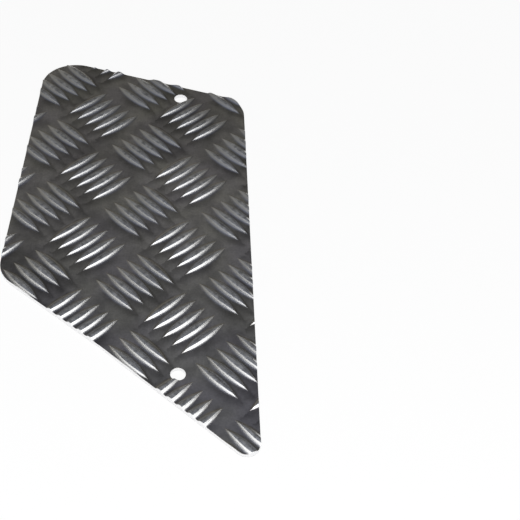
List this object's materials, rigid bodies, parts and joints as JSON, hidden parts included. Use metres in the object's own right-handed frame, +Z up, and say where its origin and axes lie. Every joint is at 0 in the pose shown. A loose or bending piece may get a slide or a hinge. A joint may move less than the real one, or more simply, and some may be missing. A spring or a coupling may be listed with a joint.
{
  "type": "scooter floorboard",
  "caption": "Flat tapered scooter floorboard of rolled tread plate, with rounded corners, groups of raised grip bars and screw holes.",
  "frame": {"origin": "on the underside, on the axis of the screw hole near the pointed end", "axes": "+Y along the inner edge towards the wide end's screw hole, +X towards the inner edge, +Z up out of the tread side"},
  "size_m": [0.1306, 0.2876, 0.0034],
  "materials": {
    "aluminium": "rolled tread plate, satin"
  },
  "bodies": {
    "root": {"floorboard": "aluminium"}
  },
  "joints": []
}
